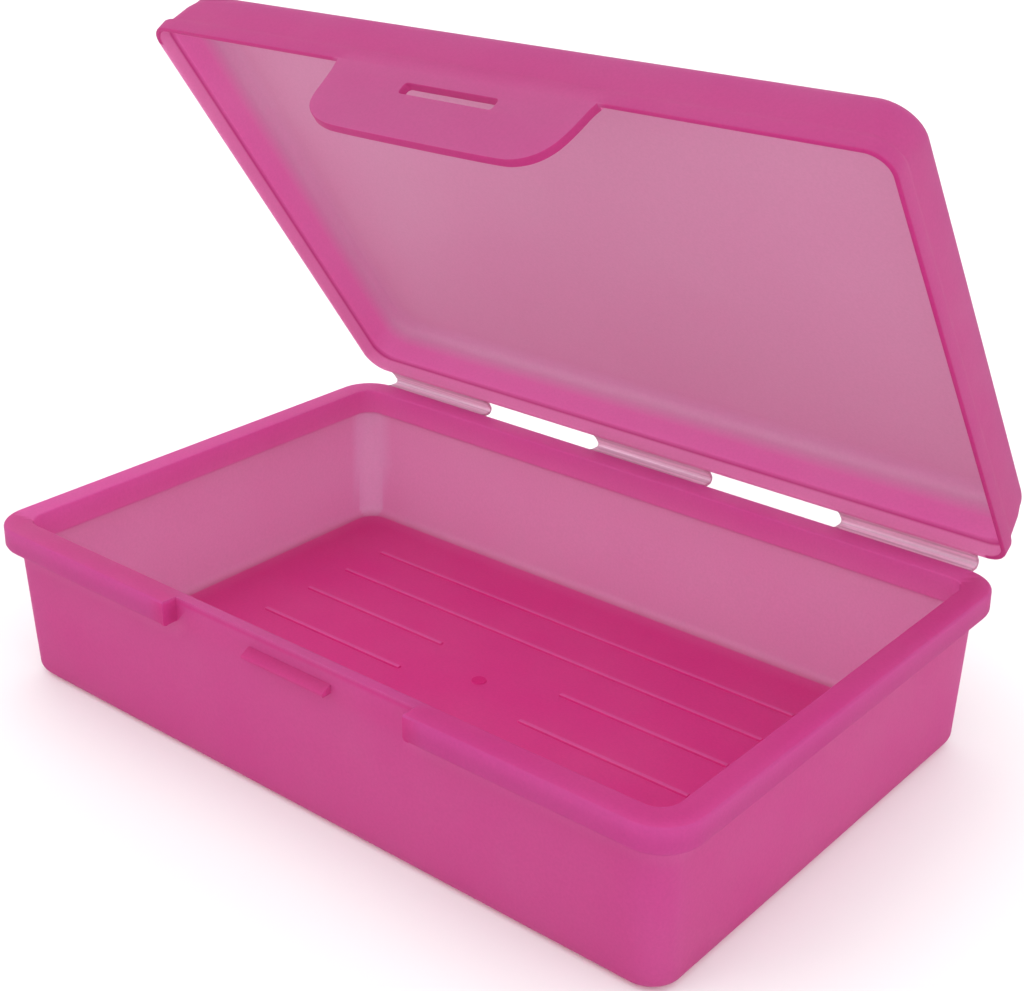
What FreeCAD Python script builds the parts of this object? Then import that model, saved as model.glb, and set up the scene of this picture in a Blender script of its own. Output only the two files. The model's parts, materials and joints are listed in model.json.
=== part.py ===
import FreeCAD, Part
import os
from FreeCAD import Placement, Rotation, Vector
import Sketcher

# Pencil case: one injection moulding in translucent polypropylene.  A rectangular tray and
# a shallow lid are joined along the back by three living hinges, and a latch tab on the
# lid's front edge snaps over a ridge on the tray.  Millimetres.  The origin is the centre
# of the face the tray stands on, X along the length, -Y the front, +Z up.

SIZES = [
    # tray
    ("rim_length", 216.0, "outer length of the tray's rim"),
    ("rim_depth", 140.6, "outer depth of the tray's rim, front to back"),
    ("base_height", 43.8, "table to the top of the tray's rim"),
    ("rim_corner", 10.4, "corner radius of the rim, in plan"),
    ("rim_plate", 1.5, "thickness of the rim's flange"),
    ("rim_inset", 6.9, "outer edge of the rim to its inner edge"),
    ("skirt_height", 6.5, "height of the skirt that hangs from the rim"),
    ("skirt_wall", 1.3, "thickness of that skirt"),
    ("band_height", 7.3, "height of the thicker band at the top of the tray's walls"),
    ("top_inset", 4.0, "outer edge of the rim to the wall's outer face, at the top"),
    ("foot_inset", 5.1, "the same at the foot, so the walls have draft"),
    ("foot_corner", 5.5, "corner radius of the tray, at the foot"),
    ("draft_angle", 1.65, "lean of the tray's walls, in degrees"),
    ("tray_wall", 1.5, "wall thickness of the tray"),
    ("foot_fillet", 3.5, "rounding along the tray's bottom edge"),
    ("floor_raise", 0.9, "height of the floor's underside above the table"),
    ("floor_plate", 1.6, "thickness of the floor"),
    ("floor_fillet", 1.8, "rounding between the floor and the walls, inside"),
    ("foot_width", 3.0, "width of the flat foot that runs round the underside"),
    ("inner_corner", 5.0, "corner radius of the rim's inner edge"),
    ("rim_round", 0.7, "rounding along the rim's outer top edge"),
    # floor beads
    ("bead_width", 1.5, "width of a raised bead on the floor"),
    ("bead_height", 0.5, "height of a bead"),
    ("bead_half", 72.5, "half the length of a row of beads"),
    ("bead_gap", 20.5, "half the gap in the two broken rows"),
    ("bead_shift", -4.6, "the rows' centre, along X"),
    ("bead_centre", 4.3, "the rows' centre, along Y"),
    ("bead_near", 8.4, "the rows' centre to the nearest rows"),
    ("bead_mid", 23.6, "the rows' centre to the next rows"),
    ("bead_far", 38.6, "the rows' centre to the farthest rows"),
    ("gate_radius", 2.2, "radius of the moulding gate's mark"),
    ("gate_height", 0.4, "height of the gate's mark"),
    # notch and catch
    ("notch_half", 38.6, "half the width of the gap in the front skirt"),
    ("rib_wall", 1.4, "thickness of the rib that closes each end of the skirt"),
    ("catch_half", 13.2, "half the length of the catch ridge"),
    ("catch_reach", 2.6, "how far the catch ridge stands out of the wall"),
    ("catch_low", 37.4, "underside of the catch ridge"),
    ("catch_nose", 0.9, "flat height of the ridge's nose"),
    ("catch_high", 39.7, "top of the ridge's ramp, at the wall"),
    ("catch_round", 0.35, "rounding along the ridge's nose"),
    # lid, seen closed, from the hinge axis
    ("lid_length", 215.0, "outer length of the lid's opening edge"),
    ("lid_depth", 140.2, "outer depth of the lid's opening edge"),
    ("lid_back", 4.0, "hinge axis to the lid's back edge"),
    ("lid_height", 17.4, "height of the lid, opening edge to top"),
    ("lid_edge_corner", 7.0, "corner radius of the lid's opening edge"),
    ("lid_skirt_corner", 8.5, "corner radius of the lid's skirt"),
    ("lid_band", 3.9, "height of the band along the opening edge"),
    ("lid_band_wall", 1.3, "thickness of that band"),
    ("lid_step", 0.8, "step in from the band to the skirt above it"),
    ("lid_wall", 1.6, "wall thickness of the lid's skirt and panel"),
    ("lid_lean", 2.0, "lean of the lid's skirt, in degrees"),
    ("lid_round", 4.5, "outer rounding round the lid's top"),
    ("lid_gap", 0.1, "gap between the closed lid's edge and the rim"),
    # hinge
    ("hinge_back", 3.6, "hinge axis behind the tray's rim"),
    ("open_angle", 55.5, "angle the lid stands open at"),
    ("film_radius", 0.25, "half the thickness of the film the hinge bends at"),
    ("leaf_plate", 1.0, "thickness of a hinge leaf"),
    ("leaf_clear", 0.15, "hinge axis to the face of a leaf"),
    ("leaf_end", 0.2, "hinge axis to the end of a leaf"),
    ("centre_half", 19.5, "half the width of the middle strap"),
    ("side_from", 60.0, "middle of the case to the near end of a side strap"),
    ("side_to", 98.6, "middle of the case to the far end of a side strap"),
    ("leaf_corner", 1.2, "rounding of a leaf's free corners"),
    # latch tab, seen closed
    ("tab_plate", 2.4, "thickness of the latch tab"),
    ("tab_root_half", 37.6, "half the width of the tab at its root"),
    ("tab_half", 36.2, "half the width of the tab above its lower corners"),
    ("tab_drop", 19.8, "lid's edge to the tab's lower edge"),
    ("tab_corner", 10.5, "radius of the tab's lower corners"),
    ("slot_half", 13.8, "half the length of the slot the catch snaps into"),
    ("slot_low", 37.1, "lower edge of the slot"),
    ("slot_high", 40.4, "upper edge of the slot"),
    ("slot_corner", 1.0, "radius of the slot's corners"),
]

doc = FreeCAD.newDocument("PencilCase")
sheet = doc.addObject("Spreadsheet::Sheet", "Sizes")
for row, (alias, value, words) in enumerate(SIZES, start=1):
    sheet.set("A%d" % row, alias)
    sheet.set("B%d" % row, str(value))
    sheet.set("C%d" % row, words)
    sheet.setAlias("B%d" % row, alias)
doc.recompute()

S = {alias: value for alias, value, _ in SIZES}


def words_of(formula):
    return formula.replace("(", " ( ").replace(")", " ) ").split()


def cell(formula):
    """A formula of sheet names, such as 'rim_length / 2', as an expression."""
    return " ".join("Sizes." + word if word in S else word for word in words_of(formula))


def number(formula):
    """The value of such a formula: names, numbers, + - * / and brackets."""
    words = words_of(formula)

    def factor():
        word = words.pop(0)
        if word == "-":
            return -factor()
        if word == "(":
            value = total()
            words.pop(0)
            return value
        return S[word] if word in S else float(word)

    def product():
        value = factor()
        while words and words[0] in "*/":
            value = value * factor() if words.pop(0) == "*" else value / factor()
        return value

    def total():
        value = product()
        while words and words[0] in "+-":
            value = value + product() if words.pop(0) == "+" else value - product()
        return value

    return total()


def new_body(label):
    body = doc.addObject("PartDesign::Body", label)
    body.Label = label
    return body


def plane_of(body, role):
    return [f for f in body.Origin.OriginFeatures if f.Role == role][0]


def attach(body, sketch, role, lift):
    sketch.AttachmentSupport = [(plane_of(body, role), "")]
    sketch.MapMode = "FlatFace"
    sketch.setExpression("AttachmentOffset.Base.z", cell(lift))


def rounded_rect(body, lift, length, depth, corner, shift="0", along="0"):
    """A rounded rectangle parallel to XY at height lift, its centre at (along, shift)."""
    sketch = body.newObject("Sketcher::SketchObject", "Outline")
    attach(body, sketch, "XY_Plane", lift)
    a, b, r = number(length) / 2, number(depth) / 2, number(corner)
    cx, cy = number(along), number(shift)
    left, right, low, high = cx - a, cx + a, cy - b, cy + b
    lines = [
        ((left + r, low), (right - r, low)), ((right, low + r), (right, high - r)),
        ((right - r, high), (left + r, high)), ((left, high - r), (left, low + r)),
    ]
    centres = [(right - r, low + r, -90), (right - r, high - r, 0),
               (left + r, high - r, 90), (left + r, low + r, 180)]
    for (start, end), (px, py, turn) in zip(lines, centres):
        sketch.addGeometry(Part.LineSegment(Vector(*start, 0), Vector(*end, 0)))
        circle = Part.Circle(Vector(px, py, 0), Vector(0, 0, 1), r)
        first = FreeCAD.Units.Quantity(turn, FreeCAD.Units.Angle).getValueAs("rad").Value
        sketch.addGeometry(Part.ArcOfCircle(circle, first, first + 1.5707963267948966))
    add = sketch.addConstraint
    for side in range(4):
        line, arc, after = 2 * side, 2 * side + 1, (2 * side + 2) % 8
        add(Sketcher.Constraint("Tangent", line, 2, arc, 1))
        add(Sketcher.Constraint("Tangent", arc, 2, after, 1))
        add(Sketcher.Constraint("Horizontal" if side % 2 == 0 else "Vertical", line))
    for arc in (3, 5, 7):
        add(Sketcher.Constraint("Equal", 1, arc))
    sizes = [
        ("corner", Sketcher.Constraint("Radius", 1, r), corner),
        ("length", Sketcher.Constraint("DistanceX", 6, 1, 2, 1, 2 * a), length),
        ("depth", Sketcher.Constraint("DistanceY", 0, 1, 4, 1, 2 * b), depth),
        ("side", Sketcher.Constraint("DistanceX", -1, 1, 2, 1, right),
         "( " + length + " ) / 2 + " + along),
        ("back", Sketcher.Constraint("DistanceY", -1, 1, 4, 1, high),
         "( " + depth + " ) / 2 + " + shift),
    ]
    for name, constraint, formula in sizes:
        index = add(constraint)
        sketch.renameConstraint(index, name)
        sketch.setExpression("Constraints." + name, cell(formula))
    return sketch


def pad(body, sketch, length, back=False, lean=None, both_ways=False):
    feature = body.newObject("PartDesign::Pad", "Pad")
    feature.Profile = sketch
    feature.setExpression("Length", cell(length))
    feature.Reversed = back
    if both_ways:
        feature.Midplane = True
    if lean:
        feature.setExpression("TaperAngle", cell(lean))
    doc.recompute()
    return feature


def pocket(body, sketch, length, back=False, lean=None):
    before = body.Tip.Shape.Volume
    feature = body.newObject("PartDesign::Pocket", "Pocket")
    feature.Profile = sketch
    feature.setExpression("Length", cell(length))
    feature.Reversed = back
    if lean:
        feature.setExpression("TaperAngle", cell(lean))
    doc.recompute()
    assert feature.Shape.Volume < before - 0.01, "a pocket in %s cut nothing" % body.Label
    return feature


def box_sketch(body, role, lift, x_low, x_high, y_low, y_high):
    """A plain rectangle on one of the body's own planes, all four sides from the sheet."""
    sketch = body.newObject("Sketcher::SketchObject", "Box")
    attach(body, sketch, role, lift)
    xs, ys = (number(x_low), number(x_high)), (number(y_low), number(y_high))
    corners = [(xs[0], ys[0]), (xs[1], ys[0]), (xs[1], ys[1]), (xs[0], ys[1])]
    for index in range(4):
        start, end = corners[index], corners[(index + 1) % 4]
        sketch.addGeometry(Part.LineSegment(Vector(*start, 0), Vector(*end, 0)))
    add = sketch.addConstraint
    for index in range(4):
        add(Sketcher.Constraint("Coincident", index, 2, (index + 1) % 4, 1))
        add(Sketcher.Constraint("Horizontal" if index % 2 == 0 else "Vertical", index))
    sizes = [
        ("left", Sketcher.Constraint("DistanceX", -1, 1, 0, 1, xs[0]), x_low),
        ("right", Sketcher.Constraint("DistanceX", -1, 1, 0, 2, xs[1]), x_high),
        ("low", Sketcher.Constraint("DistanceY", -1, 1, 0, 1, ys[0]), y_low),
        ("high", Sketcher.Constraint("DistanceY", -1, 1, 2, 1, ys[1]), y_high),
    ]
    for name, constraint, formula in sizes:
        index = add(constraint)
        sketch.renameConstraint(index, name)
        sketch.setExpression("Constraints." + name, cell(formula))
    return sketch


def outline(body, role, lift, points):
    """A closed outline of straight lines through points given as formulas."""
    sketch = body.newObject("Sketcher::SketchObject", "Outline")
    attach(body, sketch, role, lift)
    places = [(number(across), number(up)) for across, up in points]
    count = len(points)
    for index in range(count):
        start, end = places[index], places[(index + 1) % count]
        sketch.addGeometry(Part.LineSegment(Vector(*start, 0), Vector(*end, 0)))
    for index in range(count):
        sketch.addConstraint(Sketcher.Constraint("Coincident", index, 2, (index + 1) % count, 1))
    for index, (across, up) in enumerate(points):
        for kind, name, value, formula in (
                ("DistanceX", "across%d" % index, places[index][0], across),
                ("DistanceY", "up%d" % index, places[index][1], up)):
            added = sketch.addConstraint(Sketcher.Constraint(kind, -1, 1, index, 1, value))
            sketch.renameConstraint(added, name)
            sketch.setExpression("Constraints." + name, cell(formula))
    return sketch


def fillet(body, radius, wanted):
    """Round the edges of the body's last feature that wanted(edge) picks."""
    base = body.Tip
    names = ["Edge%d" % (n + 1) for n, e in enumerate(base.Shape.Edges) if wanted(e)]
    feature = body.newObject("PartDesign::Fillet", "Round")
    feature.Base = (base, names)
    feature.setExpression("Radius", cell(radius))
    doc.recompute()
    return feature


def all_at(height, tolerance=0.01):
    return lambda e: (abs(e.BoundBox.ZMin - height) < tolerance
                      and abs(e.BoundBox.ZMax - height) < tolerance)


# ---------------------------------------------------------------- tray
tray = new_body("base_tray")
skirt = rounded_rect(tray, "base_height - skirt_height", "rim_length", "rim_depth", "rim_corner")
pad(tray, skirt, "skirt_height")
fillet(tray, "rim_round", all_at(S["base_height"]))
channel = rounded_rect(tray, "base_height - skirt_height", "rim_length - 2 * skirt_wall",
                       "rim_depth - 2 * skirt_wall", "rim_corner - skirt_wall")
pocket(tray, channel, "skirt_height - rim_plate", back=True)
foot = rounded_rect(tray, "0", "rim_length - 2 * foot_inset", "rim_depth - 2 * foot_inset",
                    "foot_corner")
pad(tray, foot, "base_height - skirt_height", lean="draft_angle")
fillet(tray, "foot_fillet", all_at(0.0))
crown = rounded_rect(tray, "base_height - skirt_height", "rim_length - 2 * top_inset",
                     "rim_depth - 2 * top_inset", "foot_corner + foot_inset - top_inset")
pad(tray, crown, "skirt_height - 0.5 * rim_plate")
mouth = rounded_rect(tray, "base_height", "rim_length - 2 * rim_inset",
                     "rim_depth - 2 * rim_inset", "inner_corner")
pocket(tray, mouth, "band_height + 0.01")
inside = rounded_rect(tray, "base_height - band_height",
                      "rim_length - 2 * top_inset - 2 * tray_wall",
                      "rim_depth - 2 * top_inset - 2 * tray_wall", "inner_corner")
pocket(tray, inside, "base_height - band_height - floor_raise - floor_plate",
       lean="0 - draft_angle")
floor_top = S["floor_raise"] + S["floor_plate"]
fillet(tray, "floor_fillet", all_at(floor_top))
underside = rounded_rect(
    tray, "0",
    "rim_length - 2 * ( foot_inset + foot_fillet + foot_width )",
    "rim_depth - 2 * ( foot_inset + foot_fillet + foot_width )", "inner_corner")
pocket(tray, underside, "floor_raise", back=True)
notch = box_sketch(tray, "XY_Plane", "base_height", "0 - notch_half", "notch_half",
                   "0 - rim_depth / 2 - 2", "top_inset - rim_depth / 2")
pocket(tray, notch, "skirt_height + 1")
for side in ("0 - notch_half - rib_wall", "notch_half"):
    rib = box_sketch(tray, "XY_Plane", "base_height - skirt_height", side, side + " + rib_wall",
                     "0.5 - rim_depth / 2", "top_inset - rim_depth / 2")
    pad(tray, rib, "skirt_height - 0.5 * rim_plate")

# raised beads on the floor: two whole rows at each side, two broken rows by the gate
ROWS = [("bead_far", 1), ("bead_mid", 1), ("bead_near", 2),
        ("0 - bead_near", 2), ("0 - bead_mid", 1), ("0 - bead_far", 1)]
for reach, pieces in ROWS:
    length = "2 * bead_half" if pieces == 1 else "bead_half - bead_gap"
    for turn in ([0] if pieces == 1 else [-1, 1]):
        centre = "bead_shift" if turn == 0 else (
            "bead_shift + %d * ( bead_half + bead_gap ) / 2" % turn)
        row = rounded_rect(tray, "floor_raise + floor_plate - 0.2", length, "bead_width",
                           "0.49 * bead_width", "bead_centre + " + reach, centre)
        pad(tray, row, "bead_height + 0.2")

gate = tray.newObject("Sketcher::SketchObject", "Gate")
attach(tray, gate, "XY_Plane", "floor_raise + floor_plate - 0.2")
gate.addGeometry(Part.Circle(Vector(S["bead_shift"], S["bead_centre"], 0), Vector(0, 0, 1),
                             S["gate_radius"]))
for name, constraint, formula in (
        ("radius", Sketcher.Constraint("Radius", 0, S["gate_radius"]), "gate_radius"),
        ("along", Sketcher.Constraint("DistanceX", 0, 3, -1, 1, -S["bead_shift"]),
         "0 - bead_shift"),
        ("across", Sketcher.Constraint("DistanceY", -1, 1, 0, 3, S["bead_centre"]),
         "bead_centre")):
    index = gate.addConstraint(constraint)
    gate.renameConstraint(index, name)
    gate.setExpression("Constraints." + name, cell(formula))
pad(tray, gate, "gate_height + 0.2")

# ---------------------------------------------------------------- catch ridge
# A hook, flat underneath and ramped on top, drawn in section and run along X.
catch = new_body("catch_ridge")
hook = outline(catch, "YZ_Plane", "0", [
    ("top_inset - rim_depth / 2", "catch_low"),
    ("top_inset - rim_depth / 2", "catch_high"),
    ("top_inset - rim_depth / 2 - catch_reach", "catch_low + catch_nose"),
    ("top_inset - rim_depth / 2 - catch_reach", "catch_low"),
])
pad(catch, hook, "2 * catch_half", both_ways=True)
fillet(catch, "catch_round",
       lambda e: e.BoundBox.YMax < S["top_inset"] - S["rim_depth"] / 2 - S["catch_reach"] + 0.01
       and e.BoundBox.XLength > 1)

# ---------------------------------------------------------------- hinge straps
# Each strap is a leaf on the tray, a thin film that bends, and a leaf on the lid.
STRAPS = {
    "left": ("0 - side_to", "0 - side_from"),
    "centre": ("0 - centre_half", "centre_half"),
    "right": ("side_from", "side_to"),
}
films = []
tray_leaves = []
lid_leaves = []
for side, (start, end) in STRAPS.items():
    leaf = new_body("tray_hinge_leaf_" + side)
    plan = box_sketch(leaf, "XY_Plane", "base_height - leaf_clear - leaf_plate", start, end,
                      "rim_depth / 2", "rim_depth / 2 + hinge_back - leaf_end")
    pad(leaf, plan, "leaf_plate")
    fillet(leaf, "leaf_corner",
           lambda e: e.BoundBox.YMax < S["rim_depth"] / 2 + 0.01 and e.BoundBox.ZLength > 0.5)
    tray_leaves.append(leaf)

    film = doc.addObject("Part::Cylinder", "hinge_film_" + side)
    film.Label = "hinge_film_" + side
    film.setExpression("Radius", cell("film_radius"))
    film.setExpression("Height", cell(end + " - ( " + start + " )"))
    film.Placement = Placement(Vector(0, 0, 0), Rotation(Vector(0, 1, 0), 90))
    film.setExpression("Placement.Base.x", cell(start))
    film.setExpression("Placement.Base.y", cell("rim_depth / 2 + hinge_back"))
    film.setExpression("Placement.Base.z", cell("base_height"))
    films.append(film)

    leaf = new_body("lid_hinge_leaf_" + side)
    plan = box_sketch(leaf, "XY_Plane", "leaf_clear", start, end, "0 - lid_back",
                      "0 - leaf_end")
    pad(leaf, plan, "leaf_plate")
    lid_leaves.append(leaf)

# ---------------------------------------------------------------- lid
# Drawn closed, with the hinge axis at the origin, then turned open about it.
lid = new_body("lid_shell")
MIDDLE = "0 - lid_back - lid_depth / 2"
edge = rounded_rect(lid, "lid_gap", "lid_length", "lid_depth", "lid_edge_corner", MIDDLE)
pad(lid, edge, "lid_band")
lid_skirt = rounded_rect(lid, "lid_gap + 0.5 * lid_band", "lid_length - 2 * lid_step",
                         "lid_depth - 2 * lid_step", "lid_skirt_corner", MIDDLE)
pad(lid, lid_skirt, "lid_height - 0.5 * lid_band", lean="0 - lid_lean")
fillet(lid, "lid_round", all_at(S["lid_gap"] + S["lid_height"]))
opening = rounded_rect(lid, "lid_gap", "lid_length - 2 * lid_band_wall",
                       "lid_depth - 2 * lid_band_wall", "lid_edge_corner - lid_band_wall", MIDDLE)
pocket(lid, opening, "lid_band - 0.5 * lid_wall", back=True)
hollow = rounded_rect(lid, "lid_gap + lid_band - 0.5 * lid_wall",
                      "lid_length - 2 * lid_step - 2 * lid_wall",
                      "lid_depth - 2 * lid_step - 2 * lid_wall",
                      "lid_skirt_corner - lid_wall", MIDDLE)
pocket(lid, hollow, "lid_height - lid_band - 0.5 * lid_wall", back=True, lean="0 - lid_lean")
fillet(lid, "lid_round - lid_wall", all_at(S["lid_gap"] + S["lid_height"] - S["lid_wall"]))

# ---------------------------------------------------------------- latch tab
# Drawn closed, like the lid.  Its rounded root turns in the line under the lid's edge.
tab = new_body("latch_tab")
TAB_FACE = "0 - lid_back - lid_depth"
tab_shape = outline(tab, "XZ_Plane", "0 - ( " + TAB_FACE + " ) - tab_plate", [
    ("0 - tab_root_half", "lid_gap - tab_plate / 2"),
    ("0 - tab_half", "lid_gap - tab_drop"),
    ("tab_half", "lid_gap - tab_drop"),
    ("tab_root_half", "lid_gap - tab_plate / 2"),
])
pad(tab, tab_shape, "tab_plate")
fillet(tab, "tab_corner",
       lambda e: e.BoundBox.ZMax < S["lid_gap"] - S["tab_drop"] + 0.01 and e.BoundBox.YLength > 1)
slot = box_sketch(tab, "XZ_Plane", "0 - ( " + TAB_FACE + " ) + 1", "0 - slot_half", "slot_half",
                  "slot_low - base_height", "slot_high - base_height")
pocket(tab, slot, "tab_plate + 2")
fillet(tab, "slot_corner",
       lambda e: abs(e.BoundBox.XMin) < S["slot_half"] + 0.01 and e.BoundBox.YLength > 1
       and e.BoundBox.XLength < 0.01 and e.BoundBox.ZLength < 0.01
       and abs(e.BoundBox.XMin) > S["slot_half"] - 0.01)
bead = tab.newObject("Sketcher::SketchObject", "Root")
attach(tab, bead, "YZ_Plane", "0")
bead.addGeometry(Part.Circle(Vector(number(TAB_FACE + " + tab_plate / 2"),
                                    number("lid_gap - tab_plate / 2"), 0),
                             Vector(0, 0, 1), S["tab_plate"] / 2))
for name, constraint, formula in (
        ("radius", Sketcher.Constraint("Radius", 0, S["tab_plate"] / 2), "tab_plate / 2"),
        ("across", Sketcher.Constraint("DistanceX", 0, 3, -1, 1,
                                       -number(TAB_FACE + " + tab_plate / 2")),
         "lid_back + lid_depth - tab_plate / 2"),
        ("up", Sketcher.Constraint("DistanceY", 0, 3, -1, 1, -number("lid_gap - tab_plate / 2")),
         "tab_plate / 2 - lid_gap")):
    index = bead.addConstraint(constraint)
    bead.renameConstraint(index, name)
    bead.setExpression("Constraints." + name, cell(formula))
pad(tab, bead, "2 * tab_root_half", both_ways=True)

# ---------------------------------------------------------------- open pose
for body in [lid, tab] + lid_leaves:
    body.Placement = Placement(Vector(0, 0, 0), Rotation(Vector(-1, 0, 0), S["open_angle"]))
    body.setExpression("Placement.Base.y", cell("rim_depth / 2 + hinge_back"))
    body.setExpression("Placement.Base.z", cell("base_height"))
    body.setExpression("Placement.Rotation.Angle", cell("open_angle"))
doc.recompute()

# ---------------------------------------------------------------- output
os.makedirs("parts", exist_ok=True)
for item in doc.Objects:
    assert not {"Invalid", "Error"} & set(item.State), "%s did not build" % item.Label
for node in [tray, catch, lid, tab] + tray_leaves + films + lid_leaves:
    assert not node.Shape.isNull() and node.Shape.isValid(), node.Label + " is not sound"
    assert len(node.Shape.Solids) == 1, node.Label + " is not one solid"
    node.Shape.exportStep("parts/" + node.Label + ".step")
    size = node.Shape.BoundBox
    print("%-26s %9.1f mm3  x %.1f..%.1f  y %.1f..%.1f  z %.1f..%.1f" % (
        node.Label, node.Shape.Volume, size.XMin, size.XMax, size.YMin, size.YMax,
        size.ZMin, size.ZMax))
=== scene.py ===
import json
import math

import bmesh
import bpy
from mathutils import Matrix, Vector


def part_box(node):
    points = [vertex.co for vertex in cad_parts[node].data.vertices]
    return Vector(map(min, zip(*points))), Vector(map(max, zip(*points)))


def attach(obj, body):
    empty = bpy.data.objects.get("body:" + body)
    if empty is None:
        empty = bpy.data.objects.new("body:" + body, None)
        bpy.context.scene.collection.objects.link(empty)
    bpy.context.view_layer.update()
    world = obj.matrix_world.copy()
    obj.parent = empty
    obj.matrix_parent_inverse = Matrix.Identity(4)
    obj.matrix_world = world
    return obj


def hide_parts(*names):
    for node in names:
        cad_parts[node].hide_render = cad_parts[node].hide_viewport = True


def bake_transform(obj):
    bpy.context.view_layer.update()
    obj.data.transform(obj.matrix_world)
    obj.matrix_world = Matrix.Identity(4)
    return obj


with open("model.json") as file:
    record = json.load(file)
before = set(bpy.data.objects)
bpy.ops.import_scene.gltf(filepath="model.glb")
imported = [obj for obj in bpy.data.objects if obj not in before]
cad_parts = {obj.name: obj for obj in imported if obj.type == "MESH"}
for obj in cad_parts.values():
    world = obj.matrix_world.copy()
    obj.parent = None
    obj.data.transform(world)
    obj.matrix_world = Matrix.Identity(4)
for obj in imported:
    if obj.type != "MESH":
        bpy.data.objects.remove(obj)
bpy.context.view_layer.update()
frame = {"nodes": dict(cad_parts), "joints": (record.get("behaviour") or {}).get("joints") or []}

# Pencil case in translucent polypropylene: a tray, a lid with a latch tab, three hinge straps.
# Shapes are worked out in millimetres and scaled by MM; lights and the camera's clips are in metres.

MM = 0.001

# the CAD's own places
_, TRAY_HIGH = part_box("base_tray")
RIM_X = TRAY_HIGH.x / MM
RIM_Y = TRAY_HIGH.y / MM
RIM_Z = TRAY_HIGH.z / MM
HINGE = next(j for j in frame["joints"] if j["name"] == "lid_hinge")
AXIS_Y = HINGE["pos_m"][1] / MM
AXIS_Z = HINGE["pos_m"][2] / MM
OPEN = math.radians(-HINGE["range_deg"][0])

# points along each rounded corner and each straight side of a ring
CORNER_STEPS = 12
SIDE_STEPS = 40


# ---------------------------------------------------------------- mesh helpers
def ring(half_x, half_y, radius, height, centre_y=0.0):
    """A rounded rectangle of points, in millimetres."""
    points = []
    corners = [(1, -1, -90), (1, 1, 0), (-1, 1, 90), (-1, -1, 180)]
    for side, (sign_x, sign_y, start) in enumerate(corners):
        middle_x = sign_x * (half_x - radius)
        middle_y = sign_y * (half_y - radius)
        for step in range(CORNER_STEPS + 1):
            turn = math.radians(start + 90 * step / CORNER_STEPS)
            points.append((middle_x + radius * math.cos(turn), middle_y + radius * math.sin(turn)))
        after_x, after_y, after = corners[(side + 1) % 4]
        turn = math.radians(after)
        end = (after_x * (half_x - radius) + radius * math.cos(turn),
               after_y * (half_y - radius) + radius * math.sin(turn))
        begin = points[-1]
        for step in range(1, SIDE_STEPS):
            share = step / SIDE_STEPS
            points.append((begin[0] + (end[0] - begin[0]) * share,
                           begin[1] + (end[1] - begin[1]) * share))
    return [(across, along + centre_y, height) for across, along in points]


def arc(centre_inset, centre_height, radius, start, end, steps=6):
    """Stations (inset, height) along an arc; the inset grows towards the inside of the box."""
    stations = []
    for step in range(steps + 1):
        turn = math.radians(start + (end - start) * step / steps)
        stations.append((centre_inset + radius * math.cos(turn),
                         centre_height + radius * math.sin(turn)))
    return stations


def new_object(name, vertices, faces):
    """An object from corners in millimetres, with its faces turned outward."""
    mesh = bpy.data.meshes.new(name)
    mesh.from_pydata([Vector(v) * MM for v in vertices], [], faces)
    made = bmesh.new()
    made.from_mesh(mesh)
    bmesh.ops.recalc_face_normals(made, faces=made.faces)
    made.to_mesh(mesh)
    made.free()
    obj = bpy.data.objects.new(name, mesh)
    bpy.context.scene.collection.objects.link(obj)
    return obj


def loft(name, rings):
    """A closed skin through rings of equal count, with a flat cap on the first and the last."""
    count = len(rings[0])
    vertices = [point for points in rings for point in points]
    faces = []
    for row in range(len(rings) - 1):
        for index in range(count):
            after = (index + 1) % count
            faces.append((row * count + index, row * count + after,
                          (row + 1) * count + after, (row + 1) * count + index))
    faces.append(tuple(reversed(range(count))))
    last = (len(rings) - 1) * count
    faces.append(tuple(range(last, last + count)))
    return new_object(name, vertices, faces)


def brick(name, low, high, round_mm=0.0, segments=3):
    """A box between two corners, in millimetres, with its edges rounded."""
    vertices = [(x, y, z) for x in (low[0], high[0]) for y in (low[1], high[1])
                for z in (low[2], high[2])]
    faces = [(0, 1, 3, 2), (4, 6, 7, 5), (0, 4, 5, 1), (2, 3, 7, 6), (0, 2, 6, 4), (1, 5, 7, 3)]
    obj = new_object(name, vertices, faces)
    if round_mm:
        made = bmesh.new()
        made.from_mesh(obj.data)
        bmesh.ops.bevel(made, geom=made.edges[:], offset=round_mm * MM, segments=segments,
                        affect="EDGES", profile=0.5)
        made.to_mesh(obj.data)
        made.free()
    return obj


def combine(obj, others, operation):
    """Join or cut obj with the others, which are then gone."""
    for other in others:
        step = obj.modifiers.new("Combine", "BOOLEAN")
        step.operation = operation
        step.solver = "MANIFOLD"
        step.object = other
        view = bpy.context.evaluated_depsgraph_get()
        result = bpy.data.meshes.new_from_object(obj.evaluated_get(view))
        obj.modifiers.clear()
        obj.data = result
        bpy.data.objects.remove(other)
    return obj


def smooth(obj, angle):
    """Shade obj smooth, but keep edges sharper than the angle, in degrees, crisp."""
    for face in obj.data.polygons:
        face.use_smooth = True
    obj.data.set_sharp_from_angle(angle=math.radians(angle))


def paint_tint(obj, rule):
    """Store the plastic's tint at each corner: pale where it is thin, full where it is thick, plus the
    painted light and painted shade that the rule gives some parts.
    """
    mesh = obj.data
    tint = mesh.attributes.new("plastic_tint", "FLOAT_COLOR", "POINT")
    values = []
    for vertex in mesh.vertices:
        values.extend((*rule(vertex.co / MM, vertex.normal), 1.0))
    tint.data.foreach_set("color", values)


def ramp(value, low, high):
    """0 below low and 1 above high, with a soft change."""
    share = max(0.0, min(1.0, (value - low) / (high - low)))
    return share * share * (3 - 2 * share)


def between(first, second, share):
    """The colour that lies share of the way from the first to the second."""
    return tuple(a + (b - a) * share for a, b in zip(first, second))
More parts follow.
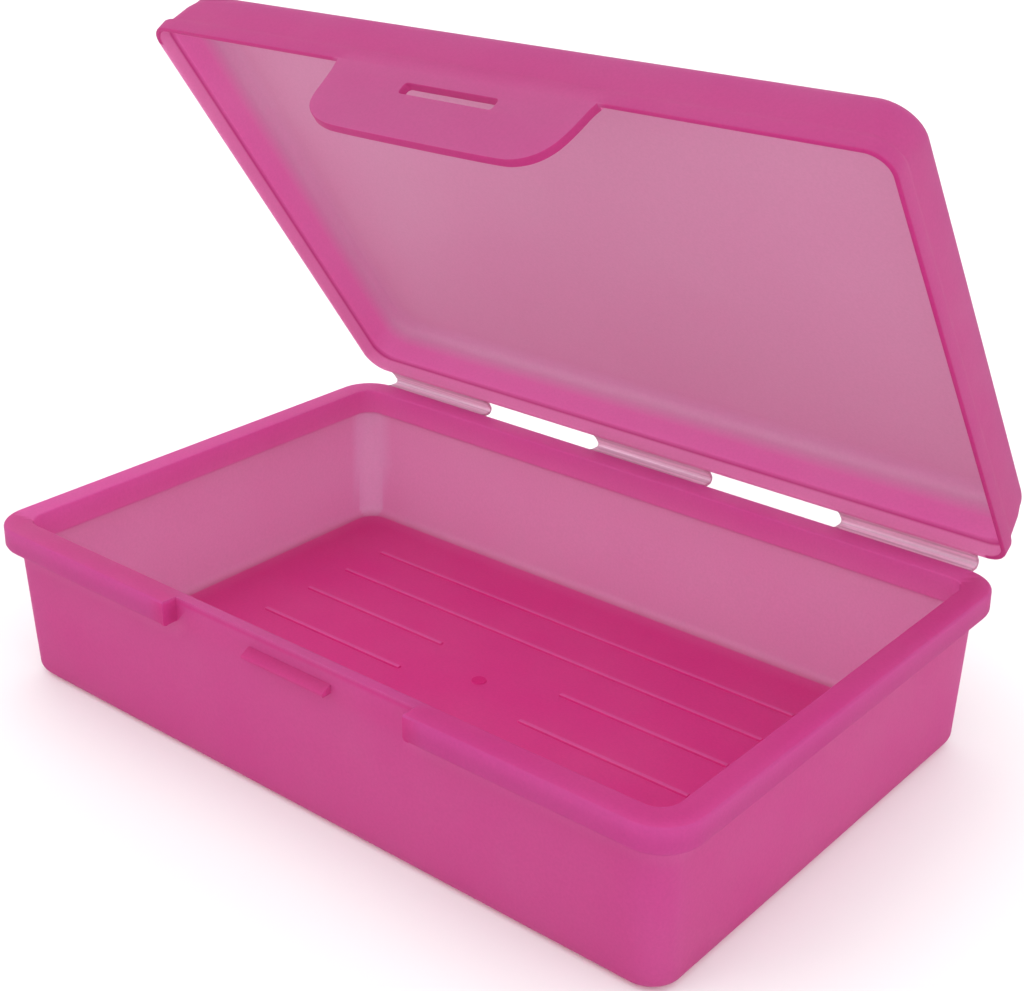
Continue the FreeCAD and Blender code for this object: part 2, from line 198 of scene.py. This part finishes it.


# ---------------------------------------------------------------- plastic
# the moulding's tint, part by part: deeper where the plastic is thick or doubled, and also set to how
# lit or shaded each part looks, so some tints are painted light or painted shade
TINT = {
    # floor: partly the plastic's own deep pink, partly painted shade, as the floor rests on the table
    # and little light comes through it
    "floor": (0.945, 0.115, 0.475),
    # a paler strip where the floor meets the walls: painted light that thins the shade gathered there
    "floor_edge_painted_light": (0.96, 0.175, 0.53),
    "underside": (0.70, 0.060, 0.28),
    # inner faces of the walls: paler than the outer faces, partly the plastic's tint, partly painted
    # light coming through the wall
    "inner_wall_with_painted_light": (0.78, 0.403, 0.590),
    "band": (0.88, 0.215, 0.57),
    "rim_top": (0.78, 0.136, 0.455),
    # the rim top along the near front and right sides: painted shade, deeper than the rest of the rim
    # top
    "rim_near_painted_shade": (0.636, 0.075, 0.305),
    "notch_top": (0.585, 0.095, 0.32),
    "outer_wall": (0.6, 0.085, 0.305),
    "skirt": (0.615, 0.082, 0.335),
    "panel": (0.66, 0.347, 0.488),
    "panel_outside": (0.58, 0.17, 0.36),
    "lid_inner_skirt": (0.86, 0.21, 0.54),
    "lid_band": (0.86, 0.3, 0.57),
    "lid_outer": (0.51, 0.075, 0.267),
    "lid_edge": (0.52, 0.035, 0.21),
    "lid_fold": (0.7, 0.43, 0.565),
    # paler rounded inner corners: a painted highlight where the corners look lit
    "inner_corner": (0.8, 0.56, 0.71),
    # a paler band on the outer wall just under the skirt: painted light that cancels the skirt's shadow
    "under_skirt_painted_light": (0.66, 0.13, 0.37),
    "rim_edge": (0.60, 0.055, 0.28),
    "rib": (0.60, 0.045, 0.25),
    # bead tops paler than the floor: a painted highlight; their sides deeper: painted shade
    "bead": (0.98, 0.21, 0.61),
    "bead_side_painted_shade": (0.88, 0.055, 0.35),
    "tab": (0.57, 0.120, 0.328),
    "tab_edge": (0.54, 0.04, 0.22),
    "strap_tray": (0.92, 0.68, 0.82),
    "strap_lid": (0.84, 0.5, 0.66),
    "strap_edge": (0.55, 0.20, 0.34),
    "catch": (0.62, 0.055, 0.27),
}


def polypropylene(name, streak=0.0, tint=None):
    """Frosted, tinted, light-passing plastic. streak adds fine mould lines along X. A piece
    without a painted tint is given one here."""
    material = bpy.data.materials.new(name)
    material.use_nodes = True
    nodes, links = material.node_tree.nodes, material.node_tree.links
    nodes.clear()

    def add(kind, **settings):
        node = nodes.new(kind)
        for key, value in settings.items():
            setattr(node, key, value)
        return node

    output = add("ShaderNodeOutputMaterial")
    place = add("ShaderNodeTexCoord")

    def noise(scale, detail, roughness=0.5, source=None):
        node = add("ShaderNodeTexNoise")
        node.inputs["Scale"].default_value = scale
        node.inputs["Detail"].default_value = detail
        node.inputs["Roughness"].default_value = roughness
        links.new(source or place.outputs["Object"], node.inputs["Vector"])
        return node

    def spread(pattern, low, high, start=0.3, end=0.7):
        """The pattern's span from start to end, stretched over low to high."""
        node = add("ShaderNodeMapRange")
        for socket, value in (("From Min", start), ("From Max", end), ("To Min", low), ("To Max", high)):
            node.inputs[socket].default_value = value
        links.new(pattern.outputs["Fac"], node.inputs["Value"])
        return node

    def bump(pattern, strength, distance, under=None):
        """Relief from a pattern, distance metres deep, on top of the relief under it."""
        node = add("ShaderNodeBump")
        node.inputs["Strength"].default_value = strength
        node.inputs["Distance"].default_value = distance
        links.new(pattern.outputs["Fac"], node.inputs["Height"])
        if under:
            links.new(under.outputs["Normal"], node.inputs["Normal"])
        return node

    cloud = noise(34, 3)
    grain = noise(1500, 2)

    # the tint varies a little with the flow of the moulding, and grain shows in it
    flow = spread(cloud, 1.02, 0.98)
    fleck = spread(grain, 0.965, 1.035)
    colour = add("ShaderNodeHueSaturation")
    links.new(flow.outputs["Result"], colour.inputs["Saturation"])
    links.new(fleck.outputs["Result"], colour.inputs["Value"])
    if tint:
        colour.inputs["Color"].default_value = (*tint, 1)
    else:
        painted = add("ShaderNodeAttribute", attribute_name="plastic_tint")
        links.new(painted.outputs["Color"], colour.inputs["Color"])

    # frosted finish: fine grain, wide ripples from the mould, and a few rubbed patches
    gloss = spread(noise(60, 6, 0.7), 0.36, 0.55)
    normal = bump(grain, 0.35, 0.00006, bump(cloud, 0.25, 0.0012))

    # a strap is drawn out thin, which leaves fine lines along it
    if streak:
        stretch = add("ShaderNodeMapping")
        stretch.inputs["Scale"].default_value = (12, 1000, 1000)
        links.new(place.outputs["Object"], stretch.inputs["Vector"])
        lines = noise(1.0, 2, source=stretch.outputs["Vector"])
        normal = bump(lines, streak, 0.0002, normal)
        drawn_tint = spread(lines, 0.74, 1.10, 0.35, 0.65)
        both = add("ShaderNodeMath", operation="MULTIPLY")
        links.new(drawn_tint.outputs["Result"], both.inputs[0])
        links.new(fleck.outputs["Result"], both.inputs[1])
        links.new(both.outputs["Value"], colour.inputs["Value"])

    body = add("ShaderNodeBsdfPrincipled")
    body.inputs["IOR"].default_value = 1.49
    body.inputs["Specular IOR Level"].default_value = 0.25
    links.new(colour.outputs["Color"], body.inputs["Base Color"])
    links.new(gloss.outputs["Result"], body.inputs["Roughness"])
    links.new(normal.outputs["Normal"], body.inputs["Normal"])

    # the light that passes through the plastic comes out paler than its own colour
    paler = add("ShaderNodeGamma")
    paler.inputs["Gamma"].default_value = 0.5
    links.new(colour.outputs["Color"], paler.inputs["Color"])
    through = add("ShaderNodeBsdfTranslucent")
    links.new(paler.outputs["Color"], through.inputs["Color"])
    links.new(normal.outputs["Normal"], through.inputs["Normal"])
    mix = add("ShaderNodeMixShader")
    mix.inputs["Fac"].default_value = 0.55
    links.new(body.outputs["BSDF"], mix.inputs[1])
    links.new(through.outputs["BSDF"], mix.inputs[2])
    links.new(mix.outputs["Shader"], output.inputs["Surface"])
    return material


PLASTIC = polypropylene("frosted_polypropylene")
STRAP_PLASTIC = polypropylene("frosted_polypropylene_drawn", streak=0.6)


def finish_piece(obj, material, rule, angle=32):
    """Smooth the piece, paint its tint by the rule and give it its plastic."""
    smooth(obj, angle)
    paint_tint(obj, rule)
    obj.data.materials.clear()
    obj.data.materials.append(material)


# ---------------------------------------------------------------- tray
def tray_ring(inset, radius, height):
    """A ring that lies inset inside the rim's outline."""
    return ring(RIM_X - inset, RIM_Y - inset, radius, height)


RIM_CORNER = 10.4
FLOOR_Z = 2.5
FLOOR_CORNER = 5.6
BAND_Z = RIM_Z - 7.3
NOTCH_X = 38.6
WALL_TOP, WALL_FOOT = 4.0, 5.1

# up the outside from the recess in the underside, over the rim, down the inside to the floor

rings = [tray_ring(11.8, 5.0, 0.9), tray_ring(11.4, 5.2, 0.45), tray_ring(11.0, 5.4, 0.05)]
rings.append(tray_ring(10.8, 5.4, 0.0))
for inset, height in arc(WALL_FOOT + 3.5, 3.5, 3.5, -90, -180, 8):
    rings.append(tray_ring(inset, 7.0, height))
rings.append(tray_ring(4.9, 6.8, 10.0))
rings.append(tray_ring(4.3, 6.0, 31.5))
rings.append(tray_ring(4.15, 5.8, 36.5))
rings.append(tray_ring(WALL_TOP, 5.6, RIM_Z - 2.0))
rings.append(tray_ring(WALL_TOP - 0.3, 5.9, RIM_Z - 1.5))
rings.append(tray_ring(1.6, 8.8, RIM_Z - 1.5))
rings.append(tray_ring(1.3, 9.1, RIM_Z - 1.8))
rings.append(tray_ring(1.3, 9.1, RIM_Z - 6.2))
for inset, height in arc(0.85, RIM_Z - 6.15, 0.42, -30, -150, 4):
    rings.append(tray_ring(inset, RIM_CORNER - inset, height))
rings.append(tray_ring(0.25, 10.2, RIM_Z - 6.0))
rings.append(tray_ring(0.0, RIM_CORNER, RIM_Z - 5.4))
for inset, height in arc(0.8, RIM_Z - 0.8, 0.8, 180, 90, 6):
    rings.append(tray_ring(inset, RIM_CORNER - inset, height))
rings.append(tray_ring(3.5, 7.4, RIM_Z))
for inset, height in arc(6.4, RIM_Z - 0.5, 0.5, 90, 0, 4):
    rings.append(tray_ring(inset, 5.2, height))
rings.append(tray_ring(6.9, 5.0, BAND_Z + 0.8))
rings.append(tray_ring(6.6, 5.0, BAND_Z + 0.1))
rings.append(tray_ring(5.7, 5.0, BAND_Z - 0.5))
rings.append(tray_ring(5.5, 5.0, BAND_Z - 1.2))
rings.append(tray_ring(5.9, 5.4, 20.0))
for inset, height in arc(8.3, FLOOR_Z + 1.9, 1.9, 180, 270, 6):
    rings.append(tray_ring(inset, FLOOR_CORNER, height))
rings.append(tray_ring(9.0, FLOOR_CORNER, FLOOR_Z))
rings.append(tray_ring(14.0, 4.5, FLOOR_Z))
tray = loft("tray", rings)

# the notch in the front rim, and the rib that closes the skirt at each end of it
notch = brick("notch", (-NOTCH_X, -RIM_Y - 5, RIM_Z - 8.5), (NOTCH_X, -RIM_Y + WALL_TOP, RIM_Z + 5))
combine(tray, [notch], "DIFFERENCE")
ribs = []
for side in (-1, 1):
    near, far = sorted((side * (NOTCH_X - 0.1), side * (NOTCH_X + 1.5)))
    ribs.append(brick("rib", (near, -RIM_Y + 0.15, RIM_Z - 6.55),
                      (far, -RIM_Y + WALL_TOP + 0.6, RIM_Z - 0.75), 0.45))
combine(tray, ribs, "UNION")

# raised beads and the gate's mark on the floor
BEAD_X, BEAD_Y = -4.6, 4.3
BEAD_END, BEAD_BREAK, BEAD_HALF = 72.5, 20.5, 0.8
ROWS = [(38.6, False), (23.6, False), (8.4, True), (-8.4, True), (-23.6, False), (-38.6, False)]
beads = []
for reach, broken in ROWS:
    spans = [(-BEAD_END, -BEAD_BREAK), (BEAD_BREAK, BEAD_END)] if broken else [(-BEAD_END, BEAD_END)]
    for start, end in spans:
        beads.append(brick("bead", (BEAD_X + start, BEAD_Y + reach - BEAD_HALF, FLOOR_Z - 0.8),
                           (BEAD_X + end, BEAD_Y + reach + BEAD_HALF, FLOOR_Z + 0.55), 0.5, 4))
gate = bmesh.new()
bmesh.ops.create_cone(gate, segments=40, radius1=2.3 * MM, radius2=1.9 * MM, depth=1.2 * MM,
                      cap_ends=True,
                      matrix=Matrix.Translation(Vector((BEAD_X, BEAD_Y, FLOOR_Z - 0.2)) * MM))
gate_mesh = bpy.data.meshes.new("gate")
gate.to_mesh(gate_mesh)
gate.free()
gate_mark = bpy.data.objects.new("gate", gate_mesh)
bpy.context.scene.collection.objects.link(gate_mark)
combine(tray, beads + [gate_mark], "UNION")


def inside_rim(place, corner=RIM_CORNER):
    """How far a point lies inside the rim's outline, in plan, with corners of this radius."""
    beyond_x = abs(place.x) - (RIM_X - corner)
    beyond_y = abs(place.y) - (RIM_Y - corner)
    if beyond_x > 0 and beyond_y > 0:
        return corner - math.hypot(beyond_x, beyond_y)
    return corner - max(beyond_x, beyond_y)


def tray_tint(place, normal):
    """The tint at a point of the tray, in millimetres."""
    inset = inside_rim(place)
    to_side, to_front = RIM_X - abs(place.x), RIM_Y - abs(place.y)
    to_near = min(RIM_X - place.x, RIM_Y + place.y)
    wall = WALL_TOP + (WALL_FOOT - WALL_TOP) * (1 - place.z / RIM_Z)
    in_notch = abs(place.x) < NOTCH_X + 0.1 and place.y < 0
    if place.z < 0.95:
        return TINT["underside"]
    if place.z < FLOOR_Z - 0.1:
        return TINT["outer_wall"]
    if abs(abs(place.x) - NOTCH_X - 0.7) < 0.9 and place.y < 0 and to_front < WALL_TOP + 0.7 \
            and place.z < RIM_Z - 0.5 and place.z > RIM_Z - 6.6:
        return TINT["rib"]
    # the floor's deep tint is partly painted shade, from the table it rests on
    on_floor = inside_rim(place, 8.3 + FLOOR_CORNER)
    if on_floor > 8.6 and place.z < FLOOR_Z + 1.4:
        # paler strip at the floor's edge: painted light against the shade by the walls
        if on_floor < 10.0:
            return TINT["floor_edge_painted_light"]
        # the bead's top gets a painted highlight, its sides painted shade
        if place.z > FLOOR_Z + 0.45:
            return TINT["bead"]
        return TINT["bead_side_painted_shade"] if place.z > FLOOR_Z + 0.01 else TINT["floor"]
    if place.z > RIM_Z - 0.6 and inset > 0.5:
        if in_notch:
            return TINT["notch_top"]
        # the near front and right stretch of the rim top gets painted shade
        return TINT["rim_near_painted_shade"] if to_near < 8.0 else TINT["rim_top"]
    if place.z > RIM_Z - 0.9 and inset < 0.5:
        return TINT["skirt"] if to_near < 8.0 else TINT["rim_edge"]
    if inset < 3.5:
        return TINT["skirt"]
    # below the skirt the outer wall fades paler: painted light against the skirt's shadow, none in the
    # notch where there is no skirt
    if inset < wall + (1.15 if place.z < 6 else 0.75):
        return between(TINT["outer_wall"], TINT["under_skirt_painted_light"],
                       0 if in_notch else ramp(place.z, 31.0, 37.0))
    # inner walls: paler, partly painted light coming through the wall; paler still at the rounded
    # corners as a painted highlight
    side = TINT["inner_corner"] if to_side < 11.5 and to_front < 11.5 else TINT["inner_wall_with_painted_light"]
    return between(side, TINT["band"], ramp(place.z, BAND_Z - 0.9, BAND_Z + 0.3))


finish_piece(tray, PLASTIC, tray_tint)
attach(tray, "base")
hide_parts("base_tray")


# ---------------------------------------------------------------- lid and latch tab
LID_X, LID_Y = 107.5, 70.1
LID_MIDDLE = AXIS_Y - 4.0 - LID_Y
EDGE_Z = AXIS_Z + 0.1
LID_TOP = 17.2
TURN = (Matrix.Translation(Vector((0, AXIS_Y, AXIS_Z)) * MM)
        @ Matrix.Rotation(OPEN, 4, "X").inverted()
        @ Matrix.Translation(Vector((0, -AXIS_Y, -AXIS_Z)) * MM))


def lid_ring(inset, radius, height):
    """A ring that lies inset inside the lid's outline, its height from the opening edge."""
    return ring(LID_X - inset, LID_Y - inset, radius, EDGE_Z + height, LID_MIDDLE)


# from the panel's inside over the opening edge to the panel's outside
rings = [lid_ring(13.0, 6.5, LID_TOP - 1.6), lid_ring(9.5, 7.0, LID_TOP - 1.6)]
for inset, height in arc(5.9, LID_TOP - 4.6, 3.0, 90, 180, 7):
    rings.append(lid_ring(inset, 7.4, height))
rings.append(lid_ring(2.75, 7.2, 9.5))
rings.append(lid_ring(2.55, 6.6, 5.4))
rings.append(lid_ring(2.4, 6.3, 4.4))
rings.append(lid_ring(1.5, 5.6, 3.6))
rings.append(lid_ring(1.3, 5.4, 3.1))
rings.append(lid_ring(1.3, 5.4, 0.5))
rings.append(lid_ring(1.15, 5.5, 0.12))
rings.append(lid_ring(0.9, 5.7, 0.0))
rings.append(lid_ring(0.4, 6.0, 0.0))
rings.append(lid_ring(0.12, 6.2, 0.12))
rings.append(lid_ring(0.0, 6.3, 0.45))
rings.append(lid_ring(0.0, 6.3, 3.4))
rings.append(lid_ring(0.08, 6.6, 3.8))
rings.append(lid_ring(0.3, 7.6, 4.3))
rings.append(lid_ring(0.38, 8.0, 5.0))
rings.append(lid_ring(0.8, 8.5, 10.0))
for inset, height in arc(5.8, LID_TOP - 4.5, 4.5, 180, 90, 9):
    rings.append(lid_ring(inset, 9.0, height))
rings.append(lid_ring(9.5, 8.0, LID_TOP))
rings.append(lid_ring(14.0, 6.0, LID_TOP))
lid = loft("lid", rings)

TAB_FRONT, TAB_PLATE, TAB_ROOT_X = -RIM_Y, 2.4, 38.5
# the tab seen from the front with the lid closed, (x, z), and its slot as (low x, high x, low z, high z)
TAB_OUTLINE = [(-39.0, 45.2), (-38.5, 44.2), (-38.2, 43.3), (-37.9, 42.0), (-37.5, 40.0),
               (-37.1, 36.0), (-36.9, 32.2),
               (-35.8, 28.9), (-32.4, 26.1), (-28.8, 24.8), (-25.0, 24.2), (0.0, 24.1), (25.0, 24.2),
               (28.8, 24.9), (32.6, 26.9), (35.4, 30.4), (36.7, 34.6), (37.4, 38.8), (37.8, 42.0),
               (38.2, 43.3), (38.5, 44.2), (38.9, 45.2)]
SLOT_BOX = (-13.7, 13.9, 37.1, 40.4)


def flat_plate(name, outline, hole, hole_round, front, plate, bevel):
    """A plate in the XZ plane with a rounded hole, its edges rolled by bevel. Millimetres."""
    curve = bpy.data.curves.new(name, "CURVE")
    curve.dimensions = "2D"
    curve.fill_mode = "BOTH"
    low_x, high_x, low_z, high_z = hole
    window = []
    for middle_x, middle_z, start in ((high_x - hole_round, low_z + hole_round, -90),
                                      (high_x - hole_round, high_z - hole_round, 0),
                                      (low_x + hole_round, high_z - hole_round, 90),
                                      (low_x + hole_round, low_z + hole_round, 180)):
        for step in range(5):
            turn = math.radians(start + 90 * step / 4)
            window.append((middle_x + hole_round * math.cos(turn),
                           middle_z + hole_round * math.sin(turn)))
    for points in (outline, window):
        spline = curve.splines.new("POLY")
        spline.points.add(len(points) - 1)
        for point, (across, up) in zip(spline.points, points):
            point.co = (across * MM, up * MM, 0, 1)
        spline.use_cyclic_u = True
    curve.extrude = (plate / 2 - bevel) * MM
    curve.bevel_depth = bevel * MM
    curve.bevel_resolution = 3
    curve.offset = -bevel * MM
    holder = bpy.data.objects.new(name, curve)
    bpy.context.scene.collection.objects.link(holder)
    view = bpy.context.evaluated_depsgraph_get()
    mesh = bpy.data.meshes.new_from_object(holder.evaluated_get(view))
    bpy.data.objects.remove(holder)
    upright = Matrix.Rotation(math.pi / 2, 4, "X")
    mesh.transform(Matrix.Translation((0, (front + plate / 2) * MM, 0)) @ upright)
    made = bmesh.new()
    made.from_mesh(mesh)
    bmesh.ops.remove_doubles(made, verts=made.verts, dist=1e-6)
    bmesh.ops.recalc_face_normals(made, faces=made.faces)
    made.to_mesh(mesh)
    made.free()
    obj = bpy.data.objects.new(name, mesh)
    bpy.context.scene.collection.objects.link(obj)
    return obj


def rounded(points, passes=2):
    """The same outline with its corners cut and cut again, so that it turns smoothly."""
    for _ in range(passes):
        cut = []
        for index, (across, up) in enumerate(points):
            after = points[(index + 1) % len(points)]
            cut.append((0.75 * across + 0.25 * after[0], 0.75 * up + 0.25 * after[1]))
            cut.append((0.25 * across + 0.75 * after[0], 0.25 * up + 0.75 * after[1]))
        points = cut
    return points


tab = flat_plate("tab", rounded(TAB_OUTLINE), SLOT_BOX, 0.9, TAB_FRONT, TAB_PLATE, 0.3)
combine(lid, [tab], "UNION")

# lines cut across the tab at these heights
made = bmesh.new()
made.from_mesh(lid.data)
for height in (43.4, 42.8, 42.2, 41.6, 41.0, 40.4):
    bmesh.ops.bisect_plane(made, geom=made.verts[:] + made.edges[:] + made.faces[:],
                           plane_co=(0, 0, height * MM), plane_no=(0, 0, 1))
made.to_mesh(lid.data)
made.free()


def lid_tint(place, normal):
    """The tint at a point of the lid or its tab, in millimetres, with the lid closed."""
    height = place.z - EDGE_Z
    inset = min(LID_X - abs(place.x), LID_Y - abs(place.y - LID_MIDDLE))
    if height < -0.6:
        return TINT["tab"] if abs(normal.y) > 0.8 else TINT["tab_edge"]
    if height < 0.3:
        if abs(place.x) < TAB_ROOT_X + 0.7 and place.y < LID_MIDDLE and abs(normal.x) > 0.6:
            return TINT["tab_edge"]
        if abs(place.x) < TAB_ROOT_X and place.y < LID_MIDDLE:
            return TINT["tab"]
        to_near = min(LID_X - place.x, LID_Y + place.y - LID_MIDDLE)
        return TINT["lid_edge"] if to_near < 6 else TINT["lid_band"]
    if inset > 9.0:
        return TINT["panel"] if height < LID_TOP - 0.5 else TINT["panel_outside"]
    to_side = LID_X - abs(place.x) < LID_Y - abs(place.y - LID_MIDDLE)
    outward = normal.x * math.copysign(1, place.x) if to_side \
        else normal.y * math.copysign(1, place.y - LID_MIDDLE)
    if outward > 0.05 and height < 4.0 and abs(place.x) < TAB_ROOT_X and place.y < LID_MIDDLE:
        return between(TINT["tab"], TINT["lid_outer"], height / 4.0)
    if outward > 0.05 or height > LID_TOP - 0.5:
        return TINT["lid_outer"]
    if height < 3.4:
        return TINT["lid_band"]
    if height < 4.0:
        return TINT["lid_edge"]
    return between(TINT["lid_inner_skirt"], TINT["lid_fold"], ramp(height, 8.5, LID_TOP - 3.0))


finish_piece(lid, PLASTIC, lid_tint)
lid.data.transform(TURN)
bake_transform(lid)
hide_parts("lid_shell", "latch_tab")


# ---------------------------------------------------------------- hinge straps
def turned(along, up):
    """A point (y, z) of the closed lid, measured from the hinge axis, in the open pose."""
    place = TURN @ (Vector((0, AXIS_Y + along, AXIS_Z + up)) * MM)
    return place.y / MM, place.z / MM


STRAP_STEPS = 24        # columns between the edges
STRAP_EDGE = 0.35       # width of the thinned edge
STRAP_FLARE = 0.4       # rounding where a strap widens into the rim and the lid


def strap_path():
    """Stations (y, z, thickness) from the tray's rim over the film to the lid's edge."""
    tray_side = [(RIM_Y - 0.3, RIM_Z - 0.65, 1.0), (RIM_Y + 0.4, RIM_Z - 0.65, 1.0),
                 (RIM_Y + 1.4, RIM_Z - 0.65, 1.0), (RIM_Y + 2.4, RIM_Z - 0.65, 0.98),
                 (RIM_Y + 2.95, RIM_Z - 0.6, 0.85), (RIM_Y + 3.3, RIM_Z - 0.42, 0.6)]
    film = [(AXIS_Y - 0.06, RIM_Z - 0.2, 0.46), (AXIS_Y + 0.06, RIM_Z, 0.44)]
    lid_side = [(*turned(-0.06, 0.2), 0.46), (*turned(-0.3, 0.42), 0.6),
                (*turned(-0.65, 0.6), 0.85), (*turned(-1.2, 0.65), 0.98),
                (*turned(-2.2, 0.65), 1.0), (*turned(-3.3, 0.65), 1.0), (*turned(-4.3, 0.65), 1.0)]
    return tray_side + film + lid_side


def strap(name, start, end):
    """One strap from x = start to end, a bent strip that is thin at its two side edges."""
    path = strap_path()
    lengths = [0.0]     # of the path, up to each station
    for (y0, z0, _), (y1, z1, _) in zip(path, path[1:]):
        lengths.append(lengths[-1] + math.hypot(y1 - y0, z1 - z0))
    total = lengths[-1]
    vertices, faces = [], []
    width = end - start
    offsets = [width * step / STRAP_STEPS for step in range(1, STRAP_STEPS)]
    offsets = [0.0, STRAP_EDGE] + offsets + [width - STRAP_EDGE, width]
    columns = len(offsets) - 1
    for index, (along, up, thick) in enumerate(path):
        before, after = path[max(index - 1, 0)], path[min(index + 1, len(path) - 1)]
        across = Vector((0, -(after[1] - before[1]), after[0] - before[0])).normalized()
        gap = min(lengths[index], total - lengths[index])
        reach = STRAP_FLARE - min(gap, STRAP_FLARE)
        flare = STRAP_FLARE - math.sqrt(STRAP_FLARE ** 2 - reach ** 2)
        for face in (-1, 1):
            for column, offset in enumerate(offsets):
                outward = -flare if column < 2 else flare if column > columns - 2 else 0
                at = start + offset + outward
                thin = 0.55 if column in (0, columns) else 1.0
                shift = across * (face * thick * thin / 2)
                vertices.append((at, along + shift.y, up + shift.z))
    row = columns + 1

    def spot(station, face, column):
        return station * 2 * row + face * row + column

    last = len(path) - 1
    for station in range(last):
        for column in range(columns):
            faces.append((spot(station, 0, column), spot(station, 0, column + 1),
                          spot(station + 1, 0, column + 1), spot(station + 1, 0, column)))
            faces.append((spot(station, 1, column), spot(station + 1, 1, column),
                          spot(station + 1, 1, column + 1), spot(station, 1, column + 1)))
        for column in (0, columns):
            faces.append((spot(station, 0, column), spot(station + 1, 0, column),
                          spot(station + 1, 1, column), spot(station, 1, column)))
    for station in (0, last):
        for column in range(columns):
            faces.append((spot(station, 0, column), spot(station, 1, column),
                          spot(station, 1, column + 1), spot(station, 0, column + 1)))
    obj = new_object(name, vertices, faces)

    def strap_tint(place, normal):
        if min(place.x - start, end - place.x) < 0.1:
            return TINT["strap_edge"]
        return between(TINT["strap_tray"], TINT["strap_lid"],
                       ramp(place.z, RIM_Z - 0.4, RIM_Z + 0.6))

    finish_piece(obj, STRAP_PLASTIC, strap_tint, 50)
    return obj


for side in ("left", "centre", "right"):
    low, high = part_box("hinge_film_" + side)
    piece = strap("strap_" + side, low.x / MM, high.x / MM)
    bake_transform(piece)
    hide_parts("tray_hinge_leaf_" + side, "hinge_film_" + side, "lid_hinge_leaf_" + side)

# ---------------------------------------------------------------- catch ridge, as the CAD has it
catch = frame["nodes"]["catch_ridge"]
catch_plastic = polypropylene("frosted_polypropylene_catch", tint=TINT["catch"])
for slot in catch.material_slots:
    slot.material = catch_plastic

# ---------------------------------------------------------------- floor, light, camera
floor_mesh = bpy.data.meshes.new("floor")
floor_mesh.from_pydata([(-8, -8, 0), (8, -8, 0), (8, 8, 0), (-8, 8, 0)], [], [(0, 1, 2, 3)])
floor = bpy.data.objects.new("floor", floor_mesh)
bpy.context.scene.collection.objects.link(floor)
floor.location.z = -0.00005
paper = bpy.data.materials.new("paper")
paper.use_nodes = True
paper_nodes, paper_links = paper.node_tree.nodes, paper.node_tree.links
paper_body = next(n for n in paper_nodes if n.type == "BSDF_PRINCIPLED")
paper_body.inputs["Roughness"].default_value = 0.9
paper_body.inputs["Specular IOR Level"].default_value = 0.1
paper_noise = paper_nodes.new("ShaderNodeTexNoise")
paper_noise.inputs["Scale"].default_value = 3
paper_tone = paper_nodes.new("ShaderNodeValToRGB")
paper_tone.color_ramp.elements[0].color = (0.90, 0.90, 0.90, 1)
paper_tone.color_ramp.elements[1].color = (0.92, 0.92, 0.92, 1)
paper_links.new(paper_noise.outputs["Fac"], paper_tone.inputs["Fac"])
paper_links.new(paper_tone.outputs["Color"], paper_body.inputs["Base Color"])
floor.data.materials.append(paper)

world = bpy.data.worlds.new("studio")
bpy.context.scene.world = world
world.use_nodes = True
sky = world.node_tree.nodes["Background"]
sky.inputs["Color"].default_value = (1.0, 1.0, 1.0, 1)
sky.inputs["Strength"].default_value = 1.3


def lamp(name, place, aim, size, power):
    """A round soft light, its place, aim and size in metres and its power in watts."""
    light = bpy.data.lights.new(name, "AREA")
    light.shape = "DISK"
    light.size = size
    light.energy = power
    obj = bpy.data.objects.new(name, light)
    bpy.context.scene.collection.objects.link(obj)
    obj.location = place
    obj.rotation_mode = "QUATERNION"
    obj.rotation_quaternion = (Vector(place) - Vector(aim)).to_track_quat("Z", "Y")


lamp("key", (-0.5, -0.9, 1.2), (0, 0, 0.05), 0.8, 2.0)
lamp("side", (1.3, -0.2, 0.5), (0, 0, 0.05), 1.0, 1.6)

camera_data = bpy.data.cameras.new("camera")
camera = bpy.data.objects.new("camera", camera_data)
bpy.context.scene.collection.objects.link(camera)
bpy.context.scene.camera = camera
AZIMUTH, ELEVATION, ROLL = math.radians(39.46), math.radians(21.98), math.radians(0.54)
back = Vector((math.sin(AZIMUTH) * math.cos(ELEVATION), -math.cos(AZIMUTH) * math.cos(ELEVATION),
               math.sin(ELEVATION)))
right = (-back).cross(Vector((0, 0, 1))).normalized()
up = right.cross(-back)
turned_right = math.cos(ROLL) * right + math.sin(ROLL) * up
turned_up = math.cos(ROLL) * up - math.sin(ROLL) * right
camera.matrix_world = Matrix.Translation(Vector((260.1, -301.9, 238.3)) * MM) @ Matrix((
    (turned_right.x, turned_up.x, back.x, 0),
    (turned_right.y, turned_up.y, back.y, 0),
    (turned_right.z, turned_up.z, back.z, 0),
    (0, 0, 0, 1)))
camera_data.sensor_width = 36
camera_data.lens = 62.03
camera_data.shift_x = -0.0063
camera_data.shift_y = -0.0682
camera_data.clip_start, camera_data.clip_end = 0.01, 50

bpy.context.scene.view_settings.view_transform = "Standard"
